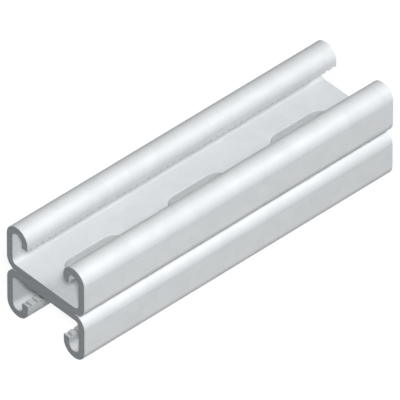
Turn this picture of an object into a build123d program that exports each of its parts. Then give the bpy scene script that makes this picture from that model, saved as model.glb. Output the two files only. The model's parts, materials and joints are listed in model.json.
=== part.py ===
from build123d import *
import os

# Back-to-back strut channel: two identical cold-rolled steel channels, web to web.
#
# Frame, in millimetres: X runs across the stock, Y along it and Z up. The origin is on
# the floor under the middle of the piece, and the rounded lips of the lower channel
# stand on Z = 0.
#
# Each channel is one strip of sheet folded into a C: a web, two walls, and two lips
# that curl over and back into the channel. A row of round-ended slots runs down the
# web. The edges of the lips are notched across, to grip the teeth of a channel nut.

# ---- Driving dimensions --------------------------------------------------------------

# The cut piece
length = 150.0

# The section of one channel
channel_width = 41.0        # over the outsides of the walls
channel_height = 21.0       # from the back of the web to the crowns of the lips
sheet = 3.0                 # thickness of the strip
web_bend_radius = 2.0       # inside radius of the bends between web and walls
lip_bend_radius = 2.5       # inside radius of the half-round curl of a lip
lip_depth = 8.0             # from the crown of a lip down to its notched edge

# The slots in the web
slot_length = 28.0
slot_width = 11.0
slot_pitch = 50.0
slot_end_land = 11.0        # least web left between a slot and a cut end

# The notches in the edges of the lips
notch_pitch = 3.0
notch_depth = 0.9
notch_mouth = 1.1           # along the stock, at the edge of the lip
notch_root = 0.2            # along the stock, at the bottom of the notch
notch_end_land = 0.9        # least edge left between a notch and a cut end

# ---- Sizes that follow ---------------------------------------------------------------

half_width = channel_width / 2
web_bend_outside = web_bend_radius + sheet
lip_bend_outside = lip_bend_radius + sheet
lip_outside = half_width - 2 * lip_bend_outside     # x of the lip's face in the mouth
lip_inside = lip_outside + sheet                    # x of the lip's face under the curl
edge_height = channel_height - lip_depth            # the notched edge of a lip
curl_height = channel_height - lip_bend_outside     # where a wall becomes a curl
web_bend_centre = (half_width - web_bend_outside, web_bend_outside)
lip_bend_centre = (half_width - lip_bend_outside, curl_height)


def copies_that_fit(size, pitch, end_land):
    """How many features of one size fit along the stock, leaving the end lands."""
    rounding = 1e-6
    spare = length - 2 * end_land - size
    return int(spare / pitch + rounding) + 1


def folded_strip():
    """The section of one channel, standing on the back of its web.

    x is across the channel and y is up from the back of the web. The right half of the
    outline runs from the middle of the web out round the fold, across the edge of the
    strip and back along the inside, and is then mirrored.
    """
    wall_inside = half_width - sheet
    with BuildSketch() as section:
        with BuildLine():
            Line((0, 0), (web_bend_centre[0], 0))
            CenterArc(web_bend_centre, web_bend_outside, -90, 90)
            Line((half_width, web_bend_outside), (half_width, curl_height))
            CenterArc(lip_bend_centre, lip_bend_outside, 0, 180)
            Line((lip_outside, curl_height), (lip_outside, edge_height))
            Line((lip_outside, edge_height), (lip_inside, edge_height))
            Line((lip_inside, edge_height), (lip_inside, curl_height))
            CenterArc(lip_bend_centre, lip_bend_radius, 180, -180)
            Line((wall_inside, curl_height), (wall_inside, web_bend_outside))
            CenterArc(web_bend_centre, web_bend_radius, 0, -90)
            Line((web_bend_centre[0], sheet), (0, sheet))
            Line((0, sheet), (0, 0))
        make_face()
        mirror(about=Plane.YZ)
    return section.sketch


def slot_cutters():
    """One round-ended block for each slot, passing right through the web."""
    count = copies_that_fit(slot_length, slot_pitch, slot_end_land)
    slot = Rot(Z=90) * SlotOverall(slot_length, slot_width)
    block = extrude(slot, amount=sheet, both=True)
    return [place * block for place in GridLocations(0, slot_pitch, 1, count)]


def notch_cutters():
    """One bar for each pair of opposite notches, lying across both lips.

    Seen from the side a bar is a tooth shape: it tapers from the mouth of the notch to
    its root, and goes on widening below the edge so that it cuts clear of the lip. Its
    ends stop in the hollow of the curls, halfway between lip and wall.
    """
    count = copies_that_fit(notch_mouth, notch_pitch, notch_end_land)
    below = notch_depth
    taper = (notch_mouth - notch_root) / notch_depth
    base = notch_mouth + taper * below
    tooth = Polygon(
        (-base / 2, -below),
        (base / 2, -below),
        (notch_root / 2, notch_depth),
        (-notch_root / 2, notch_depth),
        align=None,
    )
    bar = extrude(Plane.YZ * tooth, amount=lip_inside + lip_bend_radius, both=True)
    level = Pos(Z=edge_height)
    return [level * place * bar for place in GridLocations(0, notch_pitch, 1, count)]


def channel():
    """One channel, lying on the back of its web with its open side up."""
    blank = extrude(Plane.XZ * folded_strip(), amount=length / 2, both=True)
    return blank - slot_cutters() - notch_cutters()


def write_piece(node, piece):
    """Writes one piece as parts/NODE.step and prints its size."""
    export_step(piece, f"parts/{node}.step")
    size = piece.bounding_box().size
    print(f"{node}: {size.X:.2f} x {size.Y:.2f} x {size.Z:.2f} mm, {piece.volume:.0f} mm3")


# The webs meet at the height of the lower channel, which is the same piece turned over
strut = channel()
joint_level = Pos(Z=channel_height)

os.makedirs("parts", exist_ok=True)
write_piece("upper_channel", joint_level * strut)
write_piece("lower_channel", joint_level * Rot(Y=180) * strut)
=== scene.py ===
# %% [markdown]
# # A back-to-back strut channel
#
# Strut channel is the steel track that pipes, cable trays and shelves hang from. This piece
# is two channels set web to web, so that fittings can be clamped above and below. It is
# cold-rolled: a flat strip is punched and notched, and then a row of rollers folds it.
#
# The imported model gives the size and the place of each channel. Here each one gets a skin
# of its own, with the soft edges and the zinc finish that a plain solid doesn't have.

import json
import math

import bpy
import numpy as np
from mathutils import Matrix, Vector


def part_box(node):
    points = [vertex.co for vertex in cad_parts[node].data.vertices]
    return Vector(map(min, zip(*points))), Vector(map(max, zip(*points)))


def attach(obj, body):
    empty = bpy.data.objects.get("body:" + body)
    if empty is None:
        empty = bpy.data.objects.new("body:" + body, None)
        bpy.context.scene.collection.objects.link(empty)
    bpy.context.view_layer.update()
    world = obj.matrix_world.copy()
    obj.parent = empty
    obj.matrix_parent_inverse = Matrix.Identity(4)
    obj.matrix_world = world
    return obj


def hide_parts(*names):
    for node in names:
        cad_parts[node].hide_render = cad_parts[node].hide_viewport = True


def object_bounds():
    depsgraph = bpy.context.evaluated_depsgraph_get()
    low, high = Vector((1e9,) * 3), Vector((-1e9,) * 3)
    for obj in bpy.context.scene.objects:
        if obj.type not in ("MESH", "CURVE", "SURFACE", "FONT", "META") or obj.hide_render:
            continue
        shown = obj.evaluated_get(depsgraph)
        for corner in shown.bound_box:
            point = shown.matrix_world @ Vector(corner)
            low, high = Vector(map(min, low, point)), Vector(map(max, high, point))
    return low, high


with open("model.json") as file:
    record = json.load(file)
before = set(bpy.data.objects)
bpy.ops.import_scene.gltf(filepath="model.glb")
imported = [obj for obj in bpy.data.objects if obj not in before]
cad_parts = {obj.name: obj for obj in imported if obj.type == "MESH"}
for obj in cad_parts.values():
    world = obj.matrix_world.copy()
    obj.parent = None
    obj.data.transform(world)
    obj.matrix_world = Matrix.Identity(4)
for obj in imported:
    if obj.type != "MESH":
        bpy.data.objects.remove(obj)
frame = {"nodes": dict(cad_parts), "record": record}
cad_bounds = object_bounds()
print("packed nodes:", sorted(frame["nodes"]))

# %% [markdown]
# ## The sizes
#
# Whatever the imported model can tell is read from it: the overall box of a channel, the plane
# where the webs meet, and the slots, which its record holds as bolt patterns. Only the sizes
# inside the section are repeated here. Everything is in millimetres until the mesh is made.

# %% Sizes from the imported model
MM = 0.001


def millimetres(metres):
    """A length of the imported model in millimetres, to the nearest hundredth."""
    return round(metres / MM, 2)


def slot_centres(mounts):
    """Where the slots lie along the stock: each bolt pattern names the two ends of its line."""
    centres = set()
    for mount in mounts:
        half = mount["dims"]["spacing_y_mm"] / 2
        middle = millimetres(mount["pos_m"][1])
        centres.update((middle - half, middle + half))
    return np.array(sorted(centres))


low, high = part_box("upper_channel")
channel_width = millimetres(high.x - low.x)
stock_length = millimetres(high.y - low.y)
joint_height = millimetres(low.z)

mounts = frame["record"]["mounts"]
patterns = [mount for mount in mounts if mount["kind"] == "bolt_pattern"]
slots_at = slot_centres(patterns)
slot_length = patterns[0]["dims"]["slot_length_mm"]
slot_radius = patterns[0]["dims"]["hole_r_mm"]
print(f"channel {channel_width} mm wide, {stock_length} mm long, webs meet at {joint_height} mm")
print(f"slots at {slots_at} mm, {slot_length} mm long, {2 * slot_radius} mm wide")

# %% Sizes inside the section
channel_height = 21.0
sheet = 3.0
web_bend_radius = 2.0       # inside the bend between web and wall
lip_bend_radius = 2.5       # inside the curl of a lip
lip_depth = 8.0             # from the crown of a lip down to its notched edge

notch_pitch = 3.0
notch_depth = 0.9
notch_mouth = 1.1           # along the stock, at the edge of the lip
notch_root = 0.2            # along the stock, at the bottom of the notch

# %% [markdown]
# ## The flat strip and its fold
#
# The skin is made in the order of the factory. First comes a flat strip, where a point is
# its distance across from the middle of the web, its distance along the stock, and its
# height from the middle layer of the sheet. Cutting is easy there, because everything is
# flat. The fold then carries each point to its place in the section. It could be modelled
# folded from the start, but then each slot and notch would need its own bent outline.
#
# The middle layer neither stretches nor shrinks in the fold, so half of the strip is a chain
# of runs: half the web, a quarter turn, a wall, a half turn and the end of the lip.

# %% The runs of half the strip
half_web = channel_width / 2 - web_bend_radius - sheet
wall_run = channel_height - (web_bend_radius + sheet) - (lip_bend_radius + sheet)
lip_run = lip_depth - (lip_bend_radius + sheet)
web_bend_run = math.radians(90) * (web_bend_radius + sheet / 2)
curl_run = math.radians(180) * (lip_bend_radius + sheet / 2)

# Each run has its length and how far it turns
runs = [
    (half_web, 0.0),
    (web_bend_run, math.radians(90)),
    (wall_run, 0.0),
    (curl_run, math.radians(180)),
    (lip_run, 0.0),
]
half_strip = sum(length for length, turn in runs)
curl_ends_at = half_strip - lip_run
print(f"flat strip: {2 * half_strip:.2f} mm wide")


# %% The fold
def fold(across, height):
    """Carries points of the flat strip into the section and gives x, z and the way faced.

    A point runs along the chain until its distance across is used up. A straight run moves
    it by its length the way it faces. A bend moves it by the radius times the change of the
    sine and of the cosine of the way faced. The height then moves it sideways, to the
    outside of the fold.
    """
    x = np.zeros_like(across)
    z = np.full_like(across, sheet / 2)
    facing = np.zeros_like(across)
    start = 0.0
    for length, turn in runs:
        part = np.clip(across - start, 0.0, length)
        start += length
        if turn:
            radius = length / turn
            turned = facing + part / radius
            x += radius * (np.sin(turned) - np.sin(facing))
            z += radius * (np.cos(facing) - np.cos(turned))
            facing = turned
        else:
            x += part * np.cos(facing)
            z += part * np.sin(facing)
    return x + height * np.sin(facing), z - height * np.cos(facing), facing


# %% [markdown]
# ## Outlines with rounded corners
#
# A cut is drawn as a few corners, and an arc rounds each of them, because no punch is
# perfectly sharp. The way the path faces is kept with each point: to its right is always
# air, so the same angle gives the direction in which the edge of the steel looks.

# %% Round the corners of an outline
def rounded_path(corners, radii, steps):
    """Rounds the inner corners of a path and gives its points and the way each one faces.

    At a corner the path turns by the angle between its two legs. The arc starts a distance
    before the corner of its radius times the tangent of half the turn, and ends as far
    after it.
    """
    legs = np.diff(corners, axis=0)
    facing = np.arctan2(legs[:, 1], legs[:, 0])
    turn = (np.diff(facing) + np.pi) % (2 * np.pi) - np.pi
    radius = np.asarray(radii) * np.sign(turn)
    setback = radius * np.tan(turn / 2)
    first = facing[:-1]
    start = corners[1:-1] - setback[:, None] * np.stack([np.cos(first), np.sin(first)], axis=1)
    way = first[:, None] + turn[:, None] * np.linspace(0, 1, steps + 1)
    over = radius[:, None] * (np.sin(way) - np.sin(first)[:, None])
    up = radius[:, None] * (np.cos(first)[:, None] - np.cos(way))
    arcs = start[:, None, :] + np.stack([over, up], axis=2)
    return arcs.reshape(-1, 2), way.reshape(-1)


def right_of(facing):
    """The direction to the right of the way faced, as pairs of across and along."""
    return np.stack([np.sin(facing), -np.cos(facing)], axis=1)


# %% The notched edge of a lip
corner_radius = 0.3         # where the edge of the strip meets a cut end
mouth_radius = 0.25         # the two corners of a notch at the edge
root_radius = 0.15          # the two corners at its bottom
corner_steps = 3

notch_count = int(stock_length / notch_pitch)
notches_at = (np.arange(notch_count) - (notch_count - 1) / 2) * notch_pitch


def notched_edge():
    """The edge of the strip from one cut end to the other, with its notches.

    One notch is four corners, repeated at each notch's place along the edge. A corner at
    each cut end is added, and the legs before and after them lie on the ends.
    """
    one = np.array([
        (half_strip, -notch_mouth / 2),
        (half_strip - notch_depth, -notch_root / 2),
        (half_strip - notch_depth, notch_root / 2),
        (half_strip, notch_mouth / 2),
    ])
    notches = np.tile(one, (len(notches_at), 1))
    notches[:, 1] += np.repeat(notches_at, len(one))
    end = stock_length / 2
    corners = np.vstack([
        [(curl_ends_at, -end), (half_strip, -end)],
        notches,
        [(half_strip, end), (curl_ends_at, end)],
    ])
    one_notch = [mouth_radius, root_radius, root_radius, mouth_radius]
    radii = [corner_radius] + one_notch * len(notches_at) + [corner_radius]
    return rounded_path(corners, radii, corner_steps)


edge_points, edge_facing = notched_edge()
print(f"{len(notches_at)} notches on each lip, {len(edge_points)} points along one edge")


# %% The outline of a slot
slot_steps = 20


def slot_side(centre):
    """The right half of a slot's outline, from its near tip to its far tip.

    It is two quarter circles joined by a straight side. Air is inside the slot, so the
    path, which goes away from the near end, has the steel on its right: it faces backwards.
    """
    angle = np.linspace(-np.pi / 2, 0, slot_steps // 2 + 1)
    reach = slot_length / 2 - slot_radius
    across = slot_radius * np.cos(angle)
    along = centre - reach + slot_radius * np.sin(angle)
    near = np.stack([across, along], axis=1)
    far = near[::-1] * (1, -1) + (0, 2 * centre)
    way = np.concatenate([angle, -angle[::-1]]) - np.pi / 2
    return np.vstack([near, far]), way


# %% [markdown]
# ## The edge of the sheet
#
# Along every cut the sheet has the same edge: a small quarter round, the flat of the cut,
# and another quarter round. That profile is carried along the outline. Each point keeps the
# exact direction in which the steel looks, so the finished skin needs no guessed normals.

# %% Carry the edge profile along an outline
edge_radius = 0.2           # slit and punched edges
saw_radius = 0.05           # the cut ends, which the saw leaves sharp
round_steps = 3


def grid_faces(rows, columns):
    """The quads of a grid whose points are counted row by row."""
    index = np.arange(rows * columns).reshape(rows, columns)
    quads = np.stack([index[:-1, :-1], index[:-1, 1:], index[1:, 1:], index[1:, :-1]], axis=2)
    return quads.reshape(-1, 4)


def rim(points, facing, radius):
    """The edge of the sheet along an outline, as points, normals and quads of the flat strip.

    The lean goes from 0, where the edge meets the outer skin, to a right angle on the cut
    and back to 0 at the inner skin. The sine of the lean pushes a point out towards the air
    and 1 less its cosine lowers it, both times the radius.
    """
    quarter = np.linspace(0, np.pi / 2, round_steps + 1)
    lean = np.outer(np.concatenate([quarter, quarter[::-1]]), np.ones(len(points)))
    side = np.repeat([1.0, -1.0], round_steps + 1)[:, None]
    to_air = right_of(facing)
    reach = radius * (np.sin(lean) - 1)
    spot = np.stack([
        points[:, 0] + to_air[:, 0] * reach,
        points[:, 1] + to_air[:, 1] * reach,
        side * (sheet / 2 - radius * (1 - np.cos(lean))),
    ], axis=2)
    normal = np.stack([
        to_air[:, 0] * np.sin(lean),
        to_air[:, 1] * np.sin(lean),
        side * np.cos(lean),
    ], axis=2)
    faces = grid_faces(len(lean), len(points))
    return spot.reshape(-1, 3), normal.reshape(-1, 3), faces


# %% [markdown]
# ## The skins
#
# Between the cuts lie the two faces of the strip. The bends need close rows across, so the
# stretch from the web to the end of the curl is a plain grid. The web and the ends of the
# lips are flat, so there a row of triangles is enough to zip the grid to the outline of the
# slots or of the notches, whatever the number of points on each side.

# %% Zip two rows of points together
def zip_rows(first, second):
    """Triangles between two rows of points that both go along the stock.

    The edges of both rows are put in one order, by where their middles lie along the
    stock. Each edge makes a triangle with the point that the other row has reached.
    """
    middles = [(row[1:, 1] + row[:-1, 1]) / 2 for row in (first, second)]
    on_first = np.arange(len(first) + len(second) - 2) < len(first) - 1
    on_first = on_first[np.argsort(np.concatenate(middles), kind="stable")]
    reached_first = np.cumsum(on_first) - on_first
    reached_second = np.cumsum(~on_first) - ~on_first
    step = np.where(on_first, reached_first + 1, len(first) + reached_second + 1)
    triangles = np.stack([reached_first, len(first) + reached_second, step], axis=1)
    return np.vstack([first, second]), triangles


# %% The rows and columns of the plain grid
web_bend_steps = 8
curl_steps = 20


def grid_columns():
    """Distances across the strip where the grid has a column, from the web to the lip."""
    bend = half_web + np.linspace(0, web_bend_run, web_bend_steps + 1)
    curl = curl_ends_at - curl_run + np.linspace(0, curl_run, curl_steps + 1)
    return np.concatenate([bend, curl])


def grid_rows():
    """Distances along the stock where the grid has a row: at each notch and each slot's tips."""
    tips = np.concatenate([slots_at - slot_length / 2, slots_at + slot_length / 2])
    end = stock_length / 2 - saw_radius
    return np.unique(np.concatenate([[-end, end], notches_at, tips]))


columns = grid_columns()
rows = grid_rows()


def row_at(across):
    """The points of the grid's column at one distance across."""
    return np.stack([np.full_like(rows, across), rows], axis=1)


# %% [markdown]
# ## One channel
#
# The two skins and the edges are laid out for the right half of the strip. The left half
# is its mirror image, and both halves share the points on the middle line. Points that
# fall together are made one, which closes every seam.

# %% The pieces of half a strip
def end_line(side):
    """The cut end from the middle of the web to the end of the curl, with the way it faces."""
    across = np.concatenate([[0.0], columns])
    along = np.full_like(across, side * stock_length / 2)
    facing = np.full_like(across, 0.0 if side < 0 else np.pi)
    order = slice(None) if side < 0 else slice(None, None, -1)
    return np.stack([across, along], axis=1)[order], facing[order]


def edge_radius_at(points):
    """The rounding of the outer edge: the saw's at the cut ends, the slitter's elsewhere.

    Between the two it grows evenly, over a distance of one corner radius from the end.
    """
    from_end = stock_length / 2 - np.abs(points[:, 1])
    share = np.clip(from_end / corner_radius, 0.0, 1.0)
    return saw_radius + (edge_radius - saw_radius) * share


def middle_line():
    """The inner border of half a web: down the middle, and round the half of each slot."""
    borders = [np.array([(0.0, rows[0])])]
    for centre in slots_at:
        points, facing = slot_side(centre)
        borders.append(points - edge_radius * right_of(facing))
    borders.append(np.array([(0.0, rows[-1])]))
    return np.vstack(borders)


def skin_patches():
    """The flat patches of one skin: web, grid and lip, as points of the strip and faces."""
    web = zip_rows(middle_line(), row_at(half_web))
    grid_along, grid_across = np.meshgrid(rows, columns, indexing="ij")
    grid = np.stack([grid_across.ravel(), grid_along.ravel()], axis=1)
    inset = edge_points - edge_radius_at(edge_points)[:, None] * right_of(edge_facing)
    lip = zip_rows(row_at(curl_ends_at), inset)
    return [web, (grid, grid_faces(len(rows), len(columns))), lip]


def half_strip_patches():
    """Every patch of the right half, as points, normals and faces of the flat strip."""
    patches = []
    for points, faces in skin_patches():
        for side in (1.0, -1.0):
            level = np.full(len(points), side * sheet / 2)
            normal = np.zeros((len(points), 3))
            normal[:, 2] = side
            patches.append((np.column_stack([points, level]), normal, faces))
    near, near_facing = end_line(-1)
    far, far_facing = end_line(1)
    outline = np.vstack([near, edge_points, far])
    facing = np.concatenate([near_facing, edge_facing, far_facing])
    patches.append(rim(outline, facing, edge_radius_at(outline)))
    for centre in slots_at:
        points, facing = slot_side(centre)
        patches.append(rim(points, facing, edge_radius))
    return patches


# %% Fold, mirror and weld
weld_digits = 5             # points that agree to this many digits, in millimetres, are one


def folded(strip, normal):
    """Folds points and normals of the flat strip: x across, y along, z up from the web.

    A normal turns with the fold. Across, it has its own part across times the cosine of the
    way faced and its height times the sine. Upward, it has its part across times the sine,
    less its height times the cosine.
    """
    x, z, facing = fold(strip[:, 0], strip[:, 2])
    point = np.stack([x, strip[:, 1], z], axis=1)
    over = normal[:, 0] * np.cos(facing) + normal[:, 2] * np.sin(facing)
    up = normal[:, 0] * np.sin(facing) - normal[:, 2] * np.cos(facing)
    return point, np.stack([over, normal[:, 1], up], axis=1)


def outward(faces, points, normals):
    """Turns round each face whose corners go the wrong way about its normal.

    The cross product of two of a face's sides must point to the same side as the wanted
    normal, which is so when their product, summed over x, y and z, isn't below zero.
    """
    first, second, third = (points[faces[:, corner]] for corner in range(3))
    face_normals = np.cross(second - first, third - first)
    wrong = np.einsum("ij,ij->i", face_normals, normals[faces[:, 0]]) < 0
    faces = faces.copy()
    faces[wrong] = faces[wrong][:, ::-1]
    return faces


def channel_skin():
    """A whole channel, open side up: points, normals, places on the flat strip and faces."""
    mirror = np.array([-1.0, 1.0, 1.0])
    all_points, all_normals, all_strip, all_faces = [], [], [], []
    count = 0
    for strip, normal, faces in half_strip_patches():
        point, lean = folded(strip, normal)
        for flip in (np.ones(3), mirror):
            all_points.append(point * flip)
            all_normals.append(lean * flip)
            all_strip.append(strip * flip)
            all_faces.append(outward(faces, point * flip, lean * flip) + count)
            count += len(point)
    points = np.vstack(all_points)
    rounded = np.round(points, weld_digits) + 0.0
    _, keep, merged = np.unique(rounded, axis=0, return_index=True, return_inverse=True)
    faces = [merged.ravel()[face].tolist() for face in all_faces]
    return points[keep], np.vstack(all_normals)[keep], np.vstack(all_strip)[keep], sum(faces, [])


skin = channel_skin()
print(f"one channel: {len(skin[0])} points, {len(skin[3])} faces")


# %% [markdown]
# ## Two channels in place
#
# The upper channel stands on the plane where the webs meet. The lower one is the same
# channel turned over, half a turn about the stock's own direction. Each skin stands for its
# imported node, and keeps the place of each point on the flat strip as an attribute, so that
# the finish can follow the steel round its bends.

# %% Put a skin into a mesh
coil_stretch = 400.0        # along the coil from one channel's strip to the other's


def make_piece(name, skin, turn, strip_shift):
    """A mesh object from a skin, with turn (1 or -1) on x and z and lifted to the joint.

    strip_shift moves the place on the strip, so that the two channels, cut from different
    stretches of coil, don't wear the same pattern.
    """
    points, normals, strip, faces = skin
    half_turn = np.array([turn, 1.0, turn])
    lift = np.array([0.0, 0.0, joint_height])
    mesh = bpy.data.meshes.new(name)
    mesh.from_pydata((points * half_turn + lift) * MM, [], faces)
    mesh.polygons.foreach_set("use_smooth", np.ones(len(mesh.polygons), dtype=bool))
    mesh.normals_split_custom_set_from_vertices(normals * half_turn)
    place = mesh.attributes.new("strip_place", "FLOAT_VECTOR", "POINT")
    place.data.foreach_set("vector", ((strip + strip_shift) * MM).ravel())
    mesh.validate()
    piece = bpy.data.objects.new(name, mesh)
    bpy.context.scene.collection.objects.link(piece)
    return piece


upper = make_piece("upper_channel_skin", skin, 1.0, np.zeros(3))
lower = make_piece("lower_channel_skin", skin, -1.0, np.array([0.0, coil_stretch, 0.0]))
for piece, node_name in ((upper, "upper_channel"), (lower, "lower_channel")):
    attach(piece, "root")
    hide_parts(node_name)


# %% Check that the skins are closed
def open_edges(mesh):
    """How many edges don't have exactly two faces."""
    edge_of_corner = np.empty(len(mesh.loops), dtype=np.int32)
    mesh.loops.foreach_get("edge_index", edge_of_corner)
    return int(np.count_nonzero(np.bincount(edge_of_corner, minlength=len(mesh.edges)) != 2))


for piece in (upper, lower):
    print(f"{piece.name}: {len(piece.data.polygons)} faces, {open_edges(piece.data)} open edges")

# %% [markdown]
# ## The finish: galvanised steel
#
# The strip is zinc-coated before it is rolled. Fresh zinc is a pale, slightly blue grey
# metal, but within weeks a thin skin of zinc oxide and carbonate dulls it: most of what the
# eye meets is that matt skin, with a soft sheen of metal under it. Close up it has faint
# crystals a few millimetres across, the spangle, and fine lines along the stock where the
# rollers dragged. Both are laid out on the flat strip, as they are on the real coil, so they
# follow the steel round its bends.

# %% Colours and nodes
def linear(hex_colour):
    """A colour written as sRGB hex, turned into the linear values that shaders use.

    Up to 0.04045 a value is divided by 12.92. Above that 0.055 is added, the sum is divided
    by 1.055, and the result is raised to the power 2.4.
    """
    values = np.array([int(hex_colour[i:i + 2], 16) / 255 for i in (1, 3, 5)])
    curve = np.where(values <= 0.04045, values / 12.92, ((values + 0.055) / 1.055) ** 2.4)
    return (*curve.tolist(), 1.0)


def add_node(tree, kind, settings=(), links=()):
    """Adds a node. Settings go to an unlinked input or to the node, links feed its inputs."""
    made = tree.nodes.new("ShaderNode" + kind)
    for name, value in dict(settings).items():
        if isinstance(name, int) or name in made.inputs:
            made.inputs[name].default_value = value
        else:
            setattr(made, name, value)
    for name, socket in dict(links).items():
        tree.links.new(socket, made.inputs[name])
    return made


def new_material(name):
    """An empty material and its node tree."""
    material = bpy.data.materials.new(name)
    material.use_nodes = True
    material.node_tree.nodes.clear()
    return material, material.node_tree


# %% Galvanised steel
zinc_colour = "#DCDFE1"
zinc_dark_colour = "#D4D7D9"
zinc_metallic = 0.1         # little, because the dull skin hides most of the metal
zinc_roughness = (0.6, 0.66)        # where it is pale, and where it is dark
spangle_size = 5.0 * MM
spangle_share = 0.5         # how much a crystal counts where a line counts 1
mottle_range = (0.3, 1.2)   # the sums of both that give the pale and the dark colour
roller_line_width = 0.5 * MM
roller_line_length = 60.0 * MM
roller_line_depth = 0.02 * MM
roller_line_strength = 0.1


def galvanised_steel():
    """Dulled zinc: matt over metal, with faint crystals and lines along the stock."""
    material, tree = new_material("galvanised_steel")
    place = add_node(tree, "Attribute", {"attribute_name": "strip_place"}).outputs["Vector"]
    crystals = add_node(tree, "TexVoronoi", {"Scale": 1 / spangle_size}, {"Vector": place})
    crystal = add_node(tree, "SeparateColor", links={"Color": crystals.outputs["Color"]})
    stretch = (1 / roller_line_width, 1 / roller_line_length, 1 / roller_line_width)
    lines_at = add_node(tree, "Mapping", {"Scale": stretch}, {"Vector": place})
    noise = {"Scale": 1.0, "Detail": 2.0}
    lines = add_node(tree, "TexNoise", noise, {"Vector": lines_at.outputs[0]})
    mottle = add_node(tree, "Math", {
        "operation": "MULTIPLY_ADD",
        1: spangle_share,
    }, {0: crystal.outputs[0], 2: lines.outputs["Fac"]})
    shade = add_node(tree, "MapRange", {
        "From Min": mottle_range[0],
        "From Max": mottle_range[1],
    }, {"Value": mottle.outputs[0]})
    colour = add_node(tree, "Mix", {
        "data_type": "RGBA",
        6: linear(zinc_colour),
        7: linear(zinc_dark_colour),
    }, {0: shade.outputs[0]})
    rough = add_node(tree, "MapRange", {
        "To Min": zinc_roughness[0],
        "To Max": zinc_roughness[1],
    }, {"Value": shade.outputs[0]})
    bump = add_node(tree, "Bump", {
        "Strength": roller_line_strength,
        "Distance": roller_line_depth,
    }, {"Height": lines.outputs["Fac"]})
    shader = add_node(tree, "BsdfPrincipled", {"Metallic": zinc_metallic}, {
        "Base Color": colour.outputs[2],
        "Roughness": rough.outputs[0],
        "Normal": bump.outputs[0],
    })
    add_node(tree, "OutputMaterial", links={"Surface": shader.outputs[0]})
    return material


# %% [markdown]
# ## The cut ends: bare sawn steel and painted shade
#
# The stock is sawn to length after it is coated, so the two ends show the steel itself. Bare
# mild steel is a darker grey than zinc, and the colour here is darker still: part of it is
# painted shade, which makes the near end as dark as a face turned from the light. The saw
# leaves fine parallel scores, which lie across the stock. Real scores are closer together
# than a render can show, so they are drawn about three millimetres apart.

# %% Bare sawn steel
# The grey of the ends is partly bare steel and partly painted shade, darker than the steel
# alone.
bare_steel_and_shade_colour = "#8D9194"
bare_steel_and_shade_dark_colour = "#878B8E"
bare_steel_metallic = 0.2
bare_steel_roughness = 0.6
saw_score_pitch = math.pi * MM
saw_score_slant = math.radians(12)
saw_score_depth = 0.02 * MM
saw_score_strength = 0.04
wave_phase = 20             # radians that a wave texture of scale 1 goes through in a metre


def bare_sawn_steel_and_shade():
    """Sawn mild steel with painted shade: a duller, darker metal with scores from the teeth of
    the saw.

    A score is one full turn of the wave's phase. So the scale of the wave is a full turn,
    shared out over the pitch of the scores and the phase that scale 1 gives.
    """
    material, tree = new_material("bare_sawn_steel_and_shade")
    place = add_node(tree, "TexCoord").outputs["Object"]
    turned = add_node(tree, "Mapping", {"Rotation": (0, saw_score_slant, 0)}, {"Vector": place})
    waves = add_node(tree, "TexWave", {
        "bands_direction": "Z",
        "Scale": 2 * math.pi / (saw_score_pitch * wave_phase),
        "Distortion": 3.0,
        "Detail": 2.0,
    }, {"Vector": turned.outputs[0]})
    colour = add_node(tree, "Mix", {
        "data_type": "RGBA",
        6: linear(bare_steel_and_shade_colour),
        7: linear(bare_steel_and_shade_dark_colour),
    }, {0: waves.outputs["Fac"]})
    bump = add_node(tree, "Bump", {
        "Strength": saw_score_strength,
        "Distance": saw_score_depth,
    }, {"Height": waves.outputs["Fac"]})
    shader = add_node(tree, "BsdfPrincipled", {
        "Metallic": bare_steel_metallic,
        "Roughness": bare_steel_roughness,
    }, {
        "Base Color": colour.outputs[2],
        "Normal": bump.outputs[0],
    })
    add_node(tree, "OutputMaterial", links={"Surface": shader.outputs[0]})
    return material


# %% [markdown]
# ## The notches: painted shade over torn zinc
#
# The notches are pressed into the edges of the strip when it has its coat. The tool tears
# the coat and drags flakes of it down the cut. The notches are given a darker middle tone
# than the edge between them. This is painted shade, standing for the shade that falls in the
# notches, and it makes the row of teeth show. Small patches of the zinc's colour over the
# steel's colour give that middle tone.

# %% Torn zinc
# The notches' middle tone is painted shade, laid out as patches of torn zinc over the steel.
notch_patch_size = 0.3 * MM
notch_cover_range = (0.3, 0.8)       # from bare steel to full zinc


def torn_zinc_and_painted_shade():
    """Painted shade in the notches: the steel's colour with small patches of zinc dragged over
    it.
    """
    material, tree = new_material("torn_zinc_and_painted_shade")
    place = add_node(tree, "TexCoord").outputs["Object"]
    flakes = add_node(tree, "TexNoise", {
        "Scale": 1 / notch_patch_size,
        "Detail": 2.0,
    }, {"Vector": place})
    cover = add_node(tree, "MapRange", {
        "From Min": notch_cover_range[0],
        "From Max": notch_cover_range[1],
    }, {"Value": flakes.outputs["Fac"]})
    colour = add_node(tree, "Mix", {
        "data_type": "RGBA",
        6: linear(bare_steel_and_shade_colour),
        7: linear(zinc_colour),
    }, {0: cover.outputs[0]})
    shader = add_node(tree, "BsdfPrincipled", {
        "Metallic": bare_steel_metallic,
        "Roughness": bare_steel_roughness,
    }, {
        "Base Color": colour.outputs[2],
    })
    add_node(tree, "OutputMaterial", links={"Surface": shader.outputs[0]})
    return material


# %% [markdown]
# ## A finish for each face
#
# The three finishes are shared out by place. A face on a cut end is bare steel with painted
# shade, a face inside a notch is torn zinc with painted shade, and all the others, the walls
# of the slots too, have the zinc coat. The steel is one sheet, so one mesh with three
# materials is nearer to the real thing than three meshes would be.

# %% Give each face its finish
notch_starts_at = 0.1 * notch_depth     # leaves the edge between the notches its zinc
sheet_side_normal = 0.7                 # a face with more x in its normal is a side of the sheet


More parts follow.
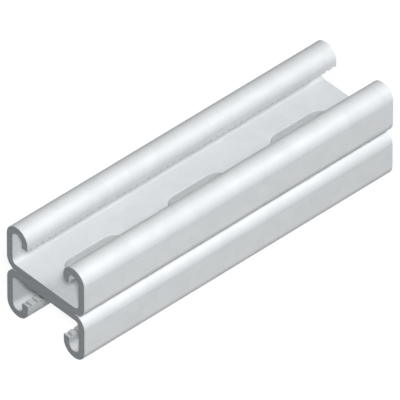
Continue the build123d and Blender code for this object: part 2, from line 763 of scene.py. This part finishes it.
def face_vectors(mesh, name):
    """The middles or the normals of the faces as rows of x, y and z."""
    vectors = np.empty(len(mesh.polygons) * 3)
    mesh.polygons.foreach_get(name, vectors)
    return vectors.reshape(-1, 3)


def sawn_faces(mesh):
    """Which faces lie on a cut end: those whose middle is at half the length."""
    along = face_vectors(mesh, "center")[:, 1] / MM
    return np.abs(along) > stock_length / 2 - saw_radius / 2


def notched_faces(mesh):
    """Which faces lie in a notch, and not on the sides of the sheet.

    How deep a face lies is its height from the joint less the height of the lip's edge.
    """
    height = np.abs(face_vectors(mesh, "center")[:, 2] / MM - joint_height)
    depth = height - (channel_height - lip_depth)
    across = np.abs(face_vectors(mesh, "normal")[:, 0])
    in_depth = (depth > notch_starts_at) & (depth < notch_depth)
    return in_depth & (across < sheet_side_normal)


finishes = (galvanised_steel(), bare_sawn_steel_and_shade(), torn_zinc_and_painted_shade())
for piece in (upper, lower):
    for finish in finishes:
        piece.data.materials.append(finish)
    sawn = sawn_faces(piece.data)
    notched = notched_faces(piece.data) & ~sawn
    piece.data.polygons.foreach_set("material_index", sawn + 2 * notched)
    counts = f"{np.count_nonzero(sawn)} sawn and {np.count_nonzero(notched)} notched faces"
    print(f"{piece.name}: {counts}")

# %% [markdown]
# ## The floor and the room
#
# The piece stands on a plain floor. The floor scatters a little of the light, so it takes
# the shadow. To the camera and to the metal it also glows, which makes it pale, and the
# room beyond it is white in the same way. Matt surfaces don't see the glow: only the lamps
# light them, and what the floor scatters of the lamps.

# %% White for the camera and for reflections
floor_half = 30.0           # metres from the middle to an edge, so far that no edge shows
floor_colour = "#727272"
floor_glow = 0.91           # added to what the floor scatters, it comes to about 1: white


def seen_directly(tree):
    """1 for camera, glossy and transmission rays, and 0 for all the others."""
    rays = add_node(tree, "LightPath")
    total = rays.outputs["Is Camera Ray"]
    for kind in ("Is Glossy Ray", "Is Transmission Ray"):
        both = add_node(tree, "Math", {"operation": "ADD"}, {0: total, 1: rays.outputs[kind]})
        total = both.outputs[0]
    return total


def floor():
    """A flat sheet at the height the piece stands on."""
    mesh = bpy.data.meshes.new("floor")
    corners = np.array([(-1, -1, 0), (1, -1, 0), (1, 1, 0), (-1, 1, 0)]) * floor_half
    mesh.from_pydata(corners.tolist(), [], [(0, 1, 2, 3)])
    made = bpy.data.objects.new("floor", mesh)
    bpy.context.scene.collection.objects.link(made)
    material, tree = new_material("pale_floor")
    matt = add_node(tree, "BsdfDiffuse", {"Color": linear(floor_colour)})
    glow = add_node(tree, "Math", {
        "operation": "MULTIPLY",
        1: floor_glow,
    }, {0: seen_directly(tree)})
    white = add_node(tree, "Emission", links={"Strength": glow.outputs[0]})
    both = add_node(tree, "AddShader", links={0: matt.outputs[0], 1: white.outputs[0]})
    add_node(tree, "OutputMaterial", links={"Surface": both.outputs[0]})
    made.data.materials.append(material)


def white_room():
    """A world that is white to look at and that gives no light to matt surfaces."""
    world = bpy.data.worlds.new("white_room")
    world.use_nodes = True
    tree = world.node_tree
    tree.nodes.clear()
    strength = seen_directly(tree)
    background = add_node(tree, "Background", {"Color": (1, 1, 1, 1)}, {"Strength": strength})
    add_node(tree, "OutputWorld", links={"Surface": background.outputs[0]})
    bpy.context.scene.world = world


floor()
white_room()
print(f"floor: {2 * floor_half:.0f} m square, room: white")

# %% [markdown]
# ## The camera
#
# The piece is seen from above one corner, so that its near end, one wall and its open top
# all show. The lens is very long and stands far back, so that parallel edges stay parallel,
# as they do in a catalogue drawing.

# %% The camera
camera_azimuth = math.radians(47.45)
camera_elevation = math.radians(41.25)
view_width = 0.1433         # how much of the scene the picture is wide, at the piece
lens = 1600.0               # so long that parallel edges stay parallel
sensor = 36.0
aim_left = 0.25 * MM        # the aim is this far to the left of the middle of the piece
aim_below = 0.46 * MM       # and this far below it
sight_factor = 20           # the camera sees this many times as far as the piece

piece_middle = (cad_bounds[0] + cad_bounds[1]) / 2


def toward_camera(azimuth, elevation):
    """The direction from the piece to a viewer at this azimuth and elevation.

    Upward it is the sine of the elevation. The cosine of the elevation is what is left on
    the level: times the sine of the azimuth along X, and times its cosine against Y.
    """
    flat = math.cos(elevation)
    return Vector((math.sin(azimuth) * flat, -math.cos(azimuth) * flat, math.sin(elevation)))


def make_camera():
    """A camera with a very long lens, far enough back for the wanted width of view.

    Its distance is the width of view times the lens, divided by the width of the sensor.
    """
    data = bpy.data.cameras.new("camera")
    data.lens = lens
    data.sensor_width = sensor
    distance = view_width * lens / sensor
    data.clip_end = sight_factor * distance
    made = bpy.data.objects.new("camera", data)
    back = toward_camera(camera_azimuth, camera_elevation)
    left = Vector((-math.cos(camera_azimuth), -math.sin(camera_azimuth), 0))
    aim = piece_middle + left * aim_left - Vector((0, 0, aim_below))
    made.location = aim + back * distance
    made.rotation_euler = (-back).to_track_quat("-Z", "Y").to_euler()
    bpy.context.scene.collection.objects.link(made)
    bpy.context.scene.camera = made


make_camera()
print(f"camera: lens {lens:.0f} mm, view {view_width / MM:.1f} mm wide")

# %% [markdown]
# ## The lights
#
# Two softboxes hang at the same height on the side of the wall that is seen, one toward
# the camera and one behind the piece. They mirror each other along the stock. The rounds of
# the lips reflect the back one to the camera as a pale band. The other lights what the
# camera sees inside the channels and on the near cut end. A shape that is the same all
# along the stock throws both shadows in the same place, so they show little.

# %% The lights
light_distance = 1.2        # metres from the middle of the piece
light_across = 0.515        # the direction of a softbox, along X, Y and Z
light_along = 0.507
light_up = 0.69
back_size = 0.3             # metres along a side
back_power = 7.0            # watts
front_size = 0.2
front_power = 12.2


def softbox(name, direction, size, power):
    """A square softbox that faces the piece from a direction, with two sides kept level."""
    data = bpy.data.lights.new(name, "AREA")
    data.shape = "RECTANGLE"
    data.size = size
    data.size_y = size
    data.energy = power
    made = bpy.data.objects.new(name, data)
    away = Vector(direction).normalized()
    made.location = piece_middle + away * light_distance
    made.rotation_euler = away.to_track_quat("Z", "Y").to_euler()
    bpy.context.scene.collection.objects.link(made)


back = (light_across, light_along, light_up)
front = (light_across, -light_along, light_up)
softbox("back_softbox", back, back_size, back_power)
softbox("viewer_softbox", front, front_size, front_power)
print(f"softboxes: back {back_power} W, front {front_power} W")

bpy.context.scene.view_settings.view_transform = "Standard"
